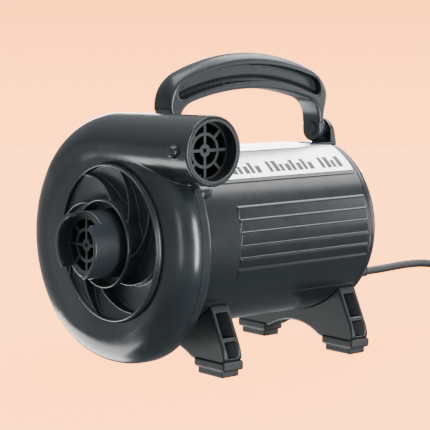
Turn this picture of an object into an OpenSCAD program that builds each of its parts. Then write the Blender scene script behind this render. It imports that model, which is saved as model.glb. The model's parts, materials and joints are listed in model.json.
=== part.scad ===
// Electric air pump for mattresses: a centrifugal fan in a snail-shaped volute, driven by a
// universal motor in a round ribbed housing, with a folding carry handle and two foot saddles.
// Millimetres. +Z is up, the inlet faces -Y and the outlet pipe points along +X. The origin is
// on the surface that the feet stand on, under the middle of the pump without its cord.

/* [Motor housing] */
// Height of the motor and fan axis above the surface that the feet stand on
axis_z = 89; // [87:1:92]
// Outer radius of the motor housing
housing_r = 62; // [61:0.5:63]
// Wall thickness of the moulded housing and volute
wall = 3; // [2.5:0.5:3.5]
// Height of the flat top of the housing above the axis
flat_top_z = 57; // [56:0.5:58]
// Length of the housing from the volute to the rear cap
housing_l = 153; // [151:1:155]
// Depth of the rear cap
cap_l = 14; // [13:1:16]
// Number of cooling ribs on each side of the housing
rib_count = 6; // [5:1:7]

/* [Volute] */
// Radius of the snail-shaped outline
scroll_r = 83.5; // [82:0.5:84.5]
// Distance of the outline's centre to the left of the motor axis
scroll_dx = 13.5; // [12:0.5:14]
// Distance of the outline's centre below the motor axis
scroll_dz = 1.7; // [1:0.1:2]
// Depth of the front volute cover
cover_l = 23; // [22:1:24]
// Depth of the rear volute shell
shell_l = 8; // [7:1:9]
// Rounding of the volute's front edge
edge_r = 20; // [16:1:21]

/* [Air ports] */
// Outer radius of the outlet pipe
pipe_r = 22.6; // [22.2:0.2:23]
// Outer radius of the outlet pipe where it leaves the volute
pipe_root_r = 20.9; // [20.5:0.1:21.5]
// Distance of the outlet mouth to the right of the motor axis
outlet_reach = 81; // [79:1:83]
// Height of the outlet pipe's centre above the motor axis
pipe_dz = 64; // [63:0.5:65]
// Inner radius of the outlet mouth
outlet_bore_r = 18.8; // [18:0.2:19.2]
// Outer radius of the inlet nozzle
nozzle_r = 22.5; // [22:0.5:23]
// Inner radius of the inlet nozzle
nozzle_bore_r = 19.5; // [19:0.25:20]
// Distance that the nozzle stands out of the volute's face
nozzle_l = 26.5; // [24:0.5:28]
// Depth of both grilles behind their mouths
grille_depth = 9; // [8:0.5:10]
// Radius of the dished inlet plate round the nozzle
plate_r = 52.4; // [52:0.2:52.8]
// Number of curved fins on the inlet plate
fin_count = 8; // [6:1:10]

/* [Handle] */
// Height of the handle's crown above the surface
handle_top_z = 213; // [211:1:216]
// Height of the handle's two fold pivots above the surface
pivot_z = 157.5; // [157:0.25:158.5]
// Width of the handle
handle_w = 20; // [18:1:20]
// Half the length of the handle, over its corners
handle_half_l = 73.4; // [72.5:0.1:73.6]

/* [Feet and motor] */
// Thickness of each foot saddle along the pump
saddle_t = 16; // [14:1:18]
// Radius of the motor shaft
shaft_r = 4; // [4:0.5:4]
// Number of impeller blades
blade_count = 8; // [6:1:12]
// Number of slots in the armature core
slot_count = 12; // [10:1:14]
// Diameter of the mains lead
cord_d = 6; // [5:0.5:7]

/* [Hidden] */

fine = 96;
medium = 48;
small = 32;
eps = 0.01;
gap = 0.1;

black = [0.13, 0.14, 0.15];
dark = [0.08, 0.085, 0.09];
silver = [0.86, 0.87, 0.88];
steel = [0.62, 0.63, 0.65];
copper = [0.72, 0.42, 0.22];
iron = [0.35, 0.35, 0.37];
brass_yellow = [0.78, 0.62, 0.3];

// The switch is the rearmost piece: its tilted rocker stands this far out of the cap
rocker_tilt = 8;
switch_proud = 5.3 * cos(rocker_tilt) + 7.6 * sin(rocker_tilt) - 2;
total_l = nozzle_l + cover_l + shell_l + housing_l + cap_l + switch_proud;
front_y = -total_l / 2;
face_y = front_y + nozzle_l;
split_y = face_y + cover_l;
flange_y = split_y + shell_l;
cap_y = flange_y + housing_l;
rear_y = cap_y + cap_l;

axis_x = (scroll_r + scroll_dx - outlet_reach) / 2;
mouth_x = axis_x + outlet_reach;
pipe_z = axis_z + pipe_dz;
scroll_x = axis_x - scroll_dx;
scroll_z = axis_z - scroll_dz;
bore_r = pipe_r - 2;
inner_r = housing_r - wall;

// ---- Helpers: every one places its children on the pump's axes ----

// Turned shape on the motor axis; the outline's points are (radius, y)
module turned() {
    translate([axis_x, 0, axis_z])
        rotate([-90, 0, 0])
            rotate_extrude($fn = fine)
                children();
}

// Plain ring on the motor axis from y0 to y1
module ring_y(y0, y1, r_out, r_in = 0) {
    translate([axis_x, y0, axis_z])
        rotate([-90, 0, 0])
            difference() {
                cylinder(h = y1 - y0, r = r_out, $fn = fine);
                if (r_in > 0)
                    translate([0, 0, -1])
                        cylinder(h = y1 - y0 + 2, r = r_in, $fn = fine);
            }
}

// Outline in the X-Z plane, measured from the motor axis, from y0 to y1
module slab(y0, y1) {
    translate([axis_x, y1, axis_z])
        rotate([90, 0, 0])
            linear_extrude(y1 - y0)
                children();
}

// Outline in the Y-Z plane, from x0 to x1
module side_slab(x0, x1) {
    translate([x0, 0, 0])
        rotate([90, 0, 90])
            linear_extrude(x1 - x0)
                children();
}

// Cylinder along Y at any x and z
module rod_y(x, z, y0, y1, r) {
    translate([x, y0, z])
        rotate([-90, 0, 0])
            cylinder(h = y1 - y0, r = r, $fn = medium);
}

// Cylinder on the outlet pipe's axis from x0 to x1
module pipe_rod(x0, x1, r) {
    translate([x0, split_y, pipe_z])
        rotate([0, 90, 0])
            cylinder(h = x1 - x0, r = r, $fn = fine);
}

// Everything behind the plane y
module behind(y) {
    translate([-300, y, -300])
        cube([600, 600, 600]);
}

// Square with two points given
module span(x0, x1, y0, y1) {
    translate([x0, y0])
        square([x1 - x0, y1 - y0]);
}

// Turned shape on the scroll's own centre, from y0 to y1, with its edge rounded by r
module scroll(y0, y1, radius, r, round_front) {
    edge_y = round_front ? y0 + r : y1 - r;
    translate([scroll_x, 0, scroll_z])
        rotate([-90, 0, 0])
            rotate_extrude($fn = fine)
                union() {
                    span(0, radius - r, y0, y1);
                    if (round_front)
                        span(0, radius, edge_y, y1);
                    else
                        span(0, radius, y0, edge_y);
                    intersection() {
                        translate([radius - r, edge_y])
                            circle(r, $fn = medium);
                        span(0, radius, y0, y1);
                    }
                }
}

// Round grille outline: two rings, a hub and their spokes, with a square hole in the hub
module grille_outline(radius) {
    hub_r = 4.2;
    mid_r = 10.5;
    bar = 2;
    difference() {
        union() {
            circle(hub_r, $fn = small);
            difference() {
                circle(mid_r + bar / 2, $fn = medium);
                circle(mid_r - bar / 2, $fn = medium);
            }
            difference() {
                circle(radius, $fn = fine);
                circle(radius - bar, $fn = fine);
            }
            for (a = [0 : 90 : 270])
                rotate(a)
                    span(0, mid_r, -bar / 2, bar / 2);
            for (a = [0 : 45 : 315])
                rotate(a)
                    span(mid_r, radius - bar / 2, -bar / 2, bar / 2);
        }
        square(2.6, center = true);
    }
}

// Pan-head screw along -Y or -Z: the head's flat side is at z = 0 and the shank goes below it
module pan_screw(head_r, head_h, shank_r, shank_l) {
    difference() {
        union() {
            translate([0, 0, -shank_l])
                cylinder(h = shank_l + eps, r = shank_r, $fn = small);
            cylinder(h = head_h, r = head_r, $fn = small);
        }
        translate([-0.5, -head_r * 0.65, head_h - 1])
            cube([1, head_r * 1.3, 2]);
        translate([-head_r * 0.65, -0.5, head_h - 1])
            cube([head_r * 1.3, 1, 2]);
    }
}

// ---- Volute ----

peg_r = 4;
peg_l = 3.2;
peg_x = mouth_x - 12.7;
sleeve_l = 22;
boss_r = 4.5;
boss_l = 6;
boss_inset = 7;
// The first boss stands close beside the housing, right of the motor axis; the others follow the scroll
side_boss = [67 * cos(32), 67 * sin(32)];
screw_places = concat(
    [[axis_x + side_boss[0], axis_z + side_boss[1]]],
    [for (a = [128, 170, 215, 262])
        [scroll_x + (scroll_r - boss_inset) * cos(a), scroll_z + (scroll_r - boss_inset) * sin(a)]]
);

// The outlet pipe, a little thinner at its root, made smaller all round by inset
module pipe_body(inset, x1) {
    translate([scroll_x, split_y, pipe_z])
        rotate([0, 90, 0])
            cylinder(
                h = mouth_x - scroll_x, r1 = pipe_root_r - inset, r2 = pipe_r - inset, $fn = fine
            );
    if (inset > 0)
        pipe_rod(mouth_x - sleeve_l - 4, x1, bore_r);
}

// Space that the back of the outlet pipe takes out of its neighbours
module pipe_space() {
    pipe_body(-gap, mouth_x);
    translate([scroll_x, split_y, pipe_z])
        sphere(r = pipe_root_r + gap, $fn = fine);
}

module volute_front_cover() {
    color(black)
        difference() {
            union() {
                scroll(face_y, split_y, scroll_r, edge_r, true);
                pipe_body(0, mouth_x);
                rod_y(peg_x, pipe_z, split_y - pipe_r - peg_l, split_y - bore_r - 1, peg_r);
            }
            scroll(face_y + wall, split_y + 1, scroll_r - wall, edge_r - wall, true);
            pipe_body(2, mouth_x + 1);
            ring_y(face_y - 1, split_y + 1, plate_r + gap);
            behind(split_y);
        }
}

module volute_rear_shell() {
    hub_hole_r = 7;
    color(black)
        difference() {
            union() {
                scroll(split_y, flange_y, scroll_r, 3, false);
                difference() {
                    union() {
                        pipe_body(0, mouth_x);
                        translate([scroll_x, split_y, pipe_z])
                            sphere(r = pipe_root_r, $fn = fine);
                    }
                    translate([-300, split_y - 600, -300])
                        cube([600, 600, 600]);
                }
                rod_y(peg_x, pipe_z, split_y + bore_r + 1, split_y + pipe_r + peg_l, peg_r);
                for (p = screw_places)
                    rod_y(p[0], p[1], flange_y - 1, flange_y + boss_l, boss_r);
            }
            scroll(split_y - 1, flange_y - wall, scroll_r - wall, 2, false);
            pipe_body(2, mouth_x + 1);
            translate([scroll_x, split_y, pipe_z])
                sphere(r = pipe_root_r - 2, $fn = fine);
            ring_y(flange_y - wall - 1, flange_y + 1, hub_hole_r);
            for (p = screw_places)
                rod_y(p[0], p[1], split_y - 1, flange_y + boss_l + 1, 1.7);
        }
}

module volute_screws() {
    color(steel)
        for (p = screw_places)
            translate([p[0], flange_y + boss_l, p[1]])
                rotate([-90, 0, 0])
                    pan_screw(3.4, 2, 1.6, boss_l + shell_l - 1);
}

// Outline of one inlet fin: a thin strip that winds inward from the plate's rim to its collar
module fin_outline(r_out, r_in, sweep, thickness) {
    steps = 10;
    half_angle = thickness / 2 * 180 / PI;
    function along(i, side) =
        let (t = i / steps, r = r_out + (r_in - r_out) * t, a = -sweep * t + side * half_angle / r)
            [r * cos(a), r * sin(a)];
    polygon(concat([for (i = [0 : steps]) along(i, 1)], [for (i = [steps : -1 : 0]) along(i, -1)]));
}

collar_r = 29.5;
collar_wall = 1.5;
collar_l = 6;
groove_y = 4;
plate_t = 9.5;
dish_depth = 7;

module swirl_inlet_plate() {
    rim_w = 1.2;
    dish_half = (plate_r - rim_w - collar_r) / 2;
    dish_steps = 10;
    // The dish is deepest half-way between the collar and the rim
    dish_points = [for (i = [0 : dish_steps])
        let (t = 2 * i / dish_steps - 1)
            [collar_r + dish_half * (1 + t), face_y + dish_depth * (1 - t * t)]];
    color(black)
        union() {
            turned()
                difference() {
                    union() {
                        span(nozzle_r + gap, plate_r, face_y, face_y + plate_t);
                        span(collar_r - collar_wall, collar_r, face_y - collar_l, face_y + 1);
                        span(plate_r - rim_w, plate_r, face_y - 0.8, face_y + 1);
                    }
                    polygon(concat(
                        [[collar_r, face_y - 20]], dish_points, [[plate_r - rim_w, face_y - 20]]
                    ));
                    span(0, collar_r - collar_wall, face_y - 1, face_y + groove_y);
                }
            for (i = [0 : fin_count - 1])
                slab(face_y - 0.3, face_y + dish_depth + 1)
                    rotate(i * 360 / fin_count + 123)
                        fin_outline(plate_r - rim_w / 2, collar_r - 0.5, 46, 1.3);
        }
}

module inlet_nozzle() {
    notch_half = 33;
    notch_mid = 13;
    foot_y = face_y + plate_t + 1.5;
    reach = 40;
    color(black)
        difference() {
            ring_y(front_y, foot_y, nozzle_r, nozzle_bore_r);
            for (turn = [0, 180])
                slab(front_y - 1, front_y + grille_depth - 0.5)
                    rotate(90 - notch_mid + turn)
                        polygon([
                            [10, -10 * tan(notch_half)], [reach, -reach * tan(notch_half)],
                            [reach, reach * tan(notch_half)], [10, 10 * tan(notch_half)],
                        ]);
        }
}

module inlet_grille() {
    color(dark)
        slab(front_y + grille_depth, front_y + grille_depth + 2)
            grille_outline(nozzle_bore_r);
}

module outlet_grille() {
    color(dark)
        union() {
            difference() {
                pipe_rod(mouth_x - sleeve_l, mouth_x - 0.3, bore_r - gap);
                pipe_rod(mouth_x - sleeve_l - 1, mouth_x + 1, outlet_bore_r);
            }
            translate([mouth_x - grille_depth - 2, split_y, pipe_z])
                rotate([90, 0, 90])
                    linear_extrude(2)
                        grille_outline(outlet_bore_r + 0.5);
        }
}

// ---- Motor housing ----

seam_z = -39.4;
stator_r = 37;
shell_ribs_y = [flange_y + 47, flange_y + 77];

// Ring outline of the housing with its flat top
module housing_outline(radius, flat) {
    intersection() {
        circle(radius, $fn = fine);
        span(-100, 100, -100, flat);
    }
}

module housing_wall_outline() {
    difference() {
        housing_outline(housing_r, flat_top_z);
        housing_outline(inner_r, flat_top_z - wall);
    }
}

// One inside rib that carries the motor's field core, with four air gaps
module core_rib_outline() {
    difference() {
        housing_outline(inner_r + 1, flat_top_z - wall + 1);
        circle(stator_r + gap, $fn = fine);
        for (a = [45 : 90 : 315])
            rotate(a)
                span(stator_r - 1, inner_r - 4, -14, 14);
    }
}

module upper_part(from = seam_z) {
    intersection() {
        children();
        span(-100, 100, from, 100);
    }
}

module lower_part() {
    intersection() {
        children();
        span(-100, 100, -100, seam_z);
    }
}

module housing_upper_shell() {
    rib_pitch = 8;
    rib_w = 6.4;
    rib_h = 0.9;
    rib_start = flange_y + 33;
    rib_end = cap_y - 2.5;
    color(black)
        union() {
            difference() {
                slab(flange_y, cap_y)
                    upper_part() housing_wall_outline();
                pipe_space();
            }
            for (y = shell_ribs_y)
                slab(y, y + 3)
                    upper_part(-30) core_rib_outline();
            for (side = [0, 1])
                mirror([side, 0, 0])
                    translate([side ? -2 * axis_x : 0, 0, 0])
                        slab(rib_start, rib_end)
                            for (i = [0 : rib_count - 1])
                                rotate(19 - i * rib_pitch)
                                    span(housing_r - 1.5, housing_r + rib_h, -rib_w / 2, rib_w / 2);
        }
}

module housing_lower_shell() {
    color(black)
        difference() {
            union() {
                slab(flange_y, cap_y)
                    lower_part() housing_wall_outline();
                for (y = shell_ribs_y)
                    slab(y, y + 3)
                        lower_part() core_rib_outline();
            }
            for (y0 = [saddle_front_y, saddle_rear_y], side = [-1, 1])
                translate([axis_x + side * 16, y0 + saddle_t / 2, 20])
                    cylinder(h = 11.6, r = 1.6, $fn = small);
        }
}

module label_plate() {
    label_t = 0.5;
    half_angle = 48.5;
    reach = 120;
    color(silver)
        slab(flange_y + 27, cap_y - 2.5)
            intersection() {
                difference() {
                    housing_outline(housing_r + label_t, flat_top_z + label_t);
                    housing_outline(housing_r, flat_top_z);
                }
                polygon([[0, 0], [-reach * tan(half_angle), reach], [reach * tan(half_angle), reach]]);
            }
}

// ---- Rear cap and switch ----

switch_x = axis_x - 22;
switch_z = 52;
switch_w = 15;
switch_h = 21;
cord_x = axis_x + 21;
cord_z = 51;
relief_r = 6;
cap_screw_r = 51;
cap_screw_angles = [45, 135, 218, 322];

module vent_slots() {
    for (row = [0 : 5])
        for (side = [-1, 1]) {
            z = axis_z + 4 + row * 6;
            translate([axis_x + side * 17 - 13, rear_y - wall - 1, z])
                cube([26, wall + 2, 2.6]);
        }
}

module rear_cap() {
    round_r = cap_l - eps;
    color(black)
        difference() {
            intersection() {
                turned()
                    difference() {
                        union() {
                            span(0, housing_r - round_r, cap_y, rear_y);
                            span(0, housing_r, cap_y, rear_y - round_r);
                            intersection() {
                                translate([housing_r - round_r, rear_y - round_r])
                                    circle(round_r, $fn = medium);
                                span(0, housing_r, cap_y, rear_y);
                            }
                        }
                        span(-1, housing_r - round_r, cap_y - 1, rear_y - wall);
                        span(-1, inner_r, cap_y - 1, rear_y - round_r);
                        intersection() {
                            translate([housing_r - round_r, rear_y - round_r])
                                circle(round_r - wall, $fn = medium);
                            span(0, housing_r, cap_y - 1, rear_y);
                        }
                    }
                slab(cap_y - 1, rear_y + 1)
                    span(-100, 100, -100, flat_top_z);
            }
            vent_slots();
            translate([switch_x - 6.6, rear_y - wall - 1, switch_z - 9.6])
                cube([13.2, wall + 2, 19.2]);
            rod_y(cord_x, cord_z, rear_y - wall - 1, rear_y + 1, relief_r);
            for (a = cap_screw_angles)
                rod_y(axis_x + cap_screw_r * cos(a), axis_z + cap_screw_r * sin(a),
                    rear_y - 8, rear_y + 1, 1.7);
        }
}

module rear_cap_screws() {
    color(steel)
        for (a = cap_screw_angles)
            translate([
                axis_x + cap_screw_r * cos(a), rear_y + 0.2, axis_z + cap_screw_r * sin(a)
            ])
                rotate([-90, 0, 0])
                    pan_screw(3, 1.6, 1.6, 11);
}

rocker_pivot_y = rear_y - 2;
rocker_pin_r = 1;

module switch_frame() {
    color(dark)
        difference() {
            union() {
                translate([switch_x - switch_w / 2, rear_y, switch_z - switch_h / 2])
                    cube([switch_w, 2, switch_h]);
                translate([switch_x - 6.5, rear_y - 18, switch_z - 9.5])
                    cube([13, 18 + eps, 19]);
                for (x = [-3, 3])
                    translate([switch_x + x - 1, rear_y - 25, switch_z - 2.5])
                        cube([0.8, 8, 5]);
            }
            translate([switch_x - 5.1, rear_y - 10, switch_z - 8.6])
                cube([10.2, 20, 17.2]);
            translate([switch_x - 6.2, rocker_pivot_y, switch_z])
                rotate([0, 90, 0])
                    cylinder(h = 12.4, r = rocker_pin_r + 0.05, $fn = medium);
        }
}

module switch_rocker() {
    half_w = 4.9;
    color([0.45, 0.08, 0.07])
        union() {
            translate([0, rocker_pivot_y, switch_z])
                rotate([-rocker_tilt, 0, 0])
                    side_slab(switch_x - half_w, switch_x + half_w)
                        polygon([[-5, -5.5], [4.2, -7.6], [5.3, -7.6], [3.6, 0],
                            [5.3, 7.6], [4.2, 7.6], [-5, 5.5]]);
            translate([switch_x - 6.1, rocker_pivot_y, switch_z])
                rotate([0, 90, 0])
                    cylinder(h = 12.2, r = rocker_pin_r, $fn = medium);
        }
}

// ---- Mains lead ----

relief_l = 24;
cord_r = cord_d / 2;

module cord_strain_relief() {
    color(dark)
        difference() {
            union() {
                translate([cord_x, rear_y - wall - 3, cord_z])
                    rotate([-90, 0, 0])
                        cylinder(h = wall + 3, r = relief_r - 0.05, $fn = medium);
                translate([cord_x, rear_y - wall - 3, cord_z])
                    rotate([-90, 0, 0])
                        cylinder(h = 2.6, r = relief_r + 0.8, $fn = medium);
                translate([cord_x, rear_y, cord_z])
                    rotate([-90, 0, 0])
                        cylinder(h = 3, r = relief_r + 1.8, $fn = medium);
                translate([cord_x, rear_y + 2.9, cord_z])
                    rotate([-90, 0, 0])
                        cylinder(h = relief_l - 2.9, r1 = relief_r - 0.6, r2 = cord_r + 1, $fn = medium);
            }
            rod_y(cord_x, cord_z, rear_y - wall - 4, rear_y + relief_l + 1, cord_r + 0.02);
        }
}

// The lead's route: straight out of its strain relief, in a long low arc, and down onto the coil
coil_c = [92, 222];
coil_r = 33;
cord_route = [
    [cord_x, rear_y - 5, cord_z], [cord_x, rear_y + 14, cord_z], [29.1, 138, 50.7],
    [29.3, 149, 50.8], [29.5, 160, 51.2], [29.7, 171, 51.6], [30, 183, 51.6], [30.2, 194, 51],
    [30.8, 205, 49.5], [32.2, 217, 47], [36, 230, 43.5], [45, 243, 38.5], [56, 252, 33], [67.5, 256.5, 27.5],
    [79.5, 258, 23.2], [92, 258, 20],
];
tail_route = [
    [92, 252, 19.5], [101.5, 250, 22], [109.5, 244.5, 26], [115.5, 236, 29.5], [118, 227, 31.5],
    [118, 217, 31.5],
];

function unit(v) = v / norm(v);
function heading(path, i) =
    unit(path[min(i + 1, len(path) - 1)] - path[max(i - 1, 0)]);

// Tube of radius r along a route that never runs upright
module swept_tube(path, r, sides) {
    rings = [for (i = [0 : len(path) - 1])
        let (t = heading(path, i), u = unit(cross(t, [0, 0, 1])), v = cross(u, t))
            for (k = [0 : sides - 1])
                path[i] + r * (cos(360 * k / sides) * u + sin(360 * k / sides) * v)];
    walls = [for (i = [0 : len(path) - 2], k = [0 : sides - 1])
        let (a = i * sides + k, b = i * sides + (k + 1) % sides)
            each [[a, b, a + sides], [b, b + sides, a + sides]]];
    last = (len(path) - 1) * sides;
    ends = [[for (k = [sides - 1 : -1 : 0]) k], [for (k = [0 : sides - 1]) last + k]];
    polyhedron(points = rings, faces = concat(walls, ends), convexity = 8);
}

module power_cord() {
    color(dark)
        swept_tube(cord_route, cord_r, 10);
}

module cord_coil() {
    coil_h = 23;
    color(dark)
        translate([coil_c[0], coil_c[1], 0])
            rotate_extrude($fn = fine)
                span(coil_r - cord_d, coil_r + cord_d, 0, coil_h);
}

module cord_tail() {
    color(dark)
        swept_tube(tail_route, cord_r, 10);
}

plug_x = 118;
plug_y = 213;
plug_z = 31.5;
plug_l = 30;
pin_spread = 19;

module plug_body() {
    color(dark)
        union() {
            translate([plug_x, plug_y - eps, plug_z])
                rotate([-90, 0, 0])
                    cylinder(h = 12, r1 = 6.5, r2 = 4.2, $fn = medium);
            translate([plug_x, plug_y, plug_z])
                rotate([90, 0, 0])
                    linear_extrude(plug_l)
                        union() {
                            span(-6, 6, -7.9, 7.9);
                            for (side = [-1, 1])
                                translate([side * 6, 0])
                                    circle(7.9, $fn = medium);
                        }
        }
}

module plug_pins() {
    pin_l = 19;
    color(steel)
        for (side = [-1, 1])
            translate([plug_x + side * pin_spread / 4, plug_y - plug_l, plug_z])
                rotate([90, 0, 0])
                    cylinder(h = pin_l, r = 2, $fn = small);
}

// ---- Handle ----

handle_y = 31.7;
crown_r = 159;
under_r = 190;
under_z = 187.9;
leg_t = 4.5;
leg_foot_r = 9.5;
corner_r = 9;
pin_r = 3;
leg_out = handle_half_l - 3.4;
lug_gap = 0.35;

module handle_side_outline() {
    corner_z = 189.7;
    difference() {
        union() {
            intersection() {
                translate([0, handle_top_z - crown_r])
                    circle(crown_r, $fn = 180);
                span(-handle_half_l + corner_r, handle_half_l - corner_r, pivot_z, 300);
            }
            for (side = [-1, 1]) {
                translate([side * (handle_half_l - corner_r), corner_z])
                    circle(corner_r, $fn = medium);
                polygon([
                    [side * (handle_half_l - corner_r - 2), corner_z],
                    [side * handle_half_l, corner_z],
                    [side * handle_half_l, side > 0 ? corner_z - 6 : pivot_z + 18],
                    [side * leg_out, pivot_z + 10.5],
                    [side * leg_out, pivot_z - leg_foot_r],
                    [side * (leg_out - leg_t), pivot_z - leg_foot_r],
                ]);
            }
        }
        intersection() {
            translate([0, under_z - under_r])
                circle(under_r, $fn = 180);
            span(-leg_out + leg_t, leg_out - leg_t, pivot_z - 20, 300);
        }
    }
}

module pocket_outline() {
    intersection() {
        translate([0, handle_top_z - 8.3 - 185])
            circle(185, $fn = 180);
        span(-handle_half_l + 7, handle_half_l - 7, 170, 210);
        difference() {
            span(-100, 100, 150, 250);
            translate([0, under_z + 5 - 178])
                circle(178, $fn = 180);
        }
    }
}

module carry_handle() {
    web_half = 3;
    color(black)
        difference() {
            intersection() {
                translate([0, handle_y, 0])
                    side_slab(axis_x - handle_w / 2, axis_x + handle_w / 2)
                        handle_side_outline();
                union() {
                    translate([axis_x - handle_w / 2, handle_y - 100, pivot_z + 8])
                        cube([handle_w, 200, 100]);
                    rod_y(axis_x, pivot_z, handle_y - 100, handle_y + 100, leg_foot_r);
                    translate([axis_x - leg_foot_r, handle_y - 100, pivot_z])
                        cube([2 * leg_foot_r, 200, 20]);
                }
            }
            for (side = [-1, 1])
                translate([0, handle_y, 0])
                    side_slab(
                        side < 0 ? axis_x - handle_w : axis_x + web_half,
                        side < 0 ? axis_x - web_half : axis_x + handle_w
                    )
                        pocket_outline();
            rod_y(axis_x, pivot_z, handle_y - 100, handle_y + 100, pin_r + 0.05);
        }
}

flat_z = axis_z + flat_top_z;
lug_w = 20;
lug_base_t = 1.3;
lug_front_t = 3.8;

// Upright lug with a round top, cut to a side outline in (y, z)
module lug(points) {
    lug_r = lug_w / 2;
    difference() {
        intersection() {
            side_slab(axis_x - lug_r, axis_x + lug_r)
                polygon(points);
            union() {
                rod_y(axis_x, pivot_z - 3, -100, 160, lug_r);
                translate([axis_x - lug_r, -100, flat_z - 20])
                    cube([lug_w, 260, pivot_z - 3 - flat_z + 20]);
            }
        }
        rod_y(axis_x, pivot_z, -100, 160, pin_r);
    }
}

// The rear lug stands on the flat top and is hooked over the cap's rear face
module handle_lug_rear() {
    leg_y = handle_y + leg_out + lug_gap;
    back_y = rear_y + 3.4;
    color(black)
        union() {
            lug([
                [leg_y - 7.5, flat_z], [leg_y - 7.5, flat_z + lug_base_t],
                [back_y - 5.6, flat_z + lug_base_t], [back_y - 6.6, flat_z + 22],
                [back_y - 4.4, flat_z + 22], [back_y, flat_z], [back_y, flat_z - 12],
                [rear_y + 0.02, flat_z - 12], [rear_y + 0.02, flat_z],
            ]);
            difference() {
                rod_y(axis_x, pivot_z, leg_y, back_y - 5.5, 6.5);
                rod_y(axis_x, pivot_z, leg_y - 1, back_y, pin_r);
            }
        }
}

module handle_lug_front() {
    leg_y = handle_y - leg_out - lug_gap;
    color(black)
        lug([
            [leg_y + 7.5, flat_z], [leg_y + 7.5, flat_z + lug_base_t],
            [leg_y, flat_z + lug_base_t], [leg_y, flat_z + 22],
            [leg_y - lug_front_t, flat_z + 22], [leg_y - lug_front_t, flat_z],
        ]);
}

module handle_pins() {
    head_t = 1.2;
    rear_pin_l = 14;
    color(steel)
        for (side = [-1, 1])
            translate([axis_x, handle_y + side * (leg_out - leg_t - 0.2), pivot_z])
                rotate([side > 0 ? -90 : 90, 0, 0])
                    union() {
                        cylinder(h = side > 0 ? rear_pin_l : 8.4, r = pin_r, $fn = medium);
                        translate([0, 0, -head_t])
                            cylinder(h = head_t + eps, r = pin_r + 1.8, $fn = medium);
                    }
}

// ---- Feet ----

saddle_front_y = -38.5;
saddle_rear_y = 81;
pad_z = 9;
saddle_screw_z = 20;

module saddle_outline() {
    arch_r = 48;
    arch_top = 17;
    difference() {
        polygon([
            [-29, pad_z], [-57, pad_z], [-60.4, 12], [-60.4, 17], [-46, 47.5], [-40, 52],
            [40, 52], [46, 47.5], [60.4, 17], [60.4, 12], [57, pad_z], [29, pad_z],
            [28, 10], [-28, 10],
        ]);
        translate([0, axis_z])
            circle(housing_r + 0.05, $fn = fine);
        translate([0, arch_top - arch_r])
            circle(arch_r, $fn = fine);
    }
}

// Two pockets in the sloping outer face of each leg
module leg_pockets(y0) {
    rim = 3;
    for (side = [-1, 1])
        translate([axis_x, y0 + saddle_t - rim, 0])
            rotate([90, 0, 0])
                linear_extrude(saddle_t - 2 * rim)
                    union() {
                        polygon([
                            [side * 70, 27], [side * 46.5, 27], [side * 40, 42], [side * 48.8, 42],
                            [side * 70, 42],
                        ]);
                        polygon([
                            [side * 70, 24], [side * 50, 24], [side * 56, 13.5], [side * 70, 13.5],
                        ]);
                    }
}

module foot_saddle(y0) {
    color(black)
        difference() {
            translate([axis_x, y0 + saddle_t, 0])
                rotate([90, 0, 0])
                    linear_extrude(saddle_t)
                        saddle_outline();
            leg_pockets(y0);
            for (side = [-1, 1])
                translate([axis_x + side * 16, y0 + saddle_t / 2, 0]) {
                    cylinder(h = 60, r = 2.1, $fn = small);
                    cylinder(h = saddle_screw_z, r = 3.9, $fn = small);
                }
        }
}

module foot_saddle_front() {
    foot_saddle(saddle_front_y);
}

module foot_saddle_rear() {
    foot_saddle(saddle_rear_y);
}

// Soft pads under the legs: each has a shallow cup around its leg and a smaller block below it
module foot_pads() {
    color(dark)
        for (y0 = [saddle_front_y, saddle_rear_y], side = [-1, 1])
            difference() {
                union() {
                    translate([axis_x + side * 45.3 - 15.7, y0 - 0.9, 4.6])
                        cube([31.4, saddle_t + 1.8, 6.6]);
                    translate([axis_x + side * 45 - 12.6, y0 + 0.5, 0])
                        cube([25.2, saddle_t - 1, 5]);
                }
                foot_saddle(y0);
            }
}

module saddle_screws() {
    color(steel)
        for (y0 = [saddle_front_y, saddle_rear_y], side = [-1, 1])
            translate([axis_x + side * 16, y0 + saddle_t / 2, saddle_screw_z])
                mirror([0, 0, 1])
                    pan_screw(3.4, 1.8, 1.6, 11.6);
}

// ---- Motor ----

motor_y = flange_y + 22;
core_y0 = motor_y + 21;
core_y1 = core_y0 + 40;
front_bearing_y = flange_y + 5;
rear_bearing_y = core_y1 + 38;
bearing_r = 11;
bearing_w = 7;
armature_r = 19.5;

// Bearing bracket: a rim that fits the housing, a hub round the bearing and arms between them
module bearing_bracket(y0, thickness, hub_y, hub_l, arms, top) {
    hub_r = 15;
    color(dark)
        difference() {
            union() {
                slab(y0, y0 + thickness)
                    difference() {
                        housing_outline(inner_r - gap, top);
                        difference() {
                            circle(inner_r - 6, $fn = fine);
                            circle(hub_r, $fn = fine);
                            for (i = [0 : arms - 1])
                                rotate(i * 360 / arms + 45)
                                    span(0, inner_r, -6, 6);
                        }
                    }
                ring_y(hub_y, hub_y + hub_l, hub_r);
            }
            ring_y(hub_y - 10, hub_y + hub_l + 10, bearing_r - 3);
            ring_y(front_bearing_y, front_bearing_y + bearing_w, bearing_r);
            ring_y(rear_bearing_y, rear_bearing_y + bearing_w, bearing_r);
        }
}

module front_bearing_bracket() {
    bearing_bracket(
        flange_y + 0.2, 4, flange_y + 0.2, 4.8 + bearing_w, 6, pipe_dz - pipe_r - 1
    );
}

module rear_bearing_bracket() {
    bearing_bracket(
        rear_bearing_y, 4, rear_bearing_y - 2, bearing_w + 2, 4, flat_top_z - wall - gap
    );
}

module bearing(y0) {
    color(steel)
        turned()
            difference() {
                span(shaft_r + 0.03, bearing_r, y0, y0 + bearing_w);
                span(shaft_r + 2, bearing_r - 2, y0 - 1, y0 + 0.6);
                span(shaft_r + 2, bearing_r - 2, y0 + bearing_w - 0.6, y0 + bearing_w + 1);
            }
}

module front_bearing() {
    bearing(front_bearing_y);
}

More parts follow.
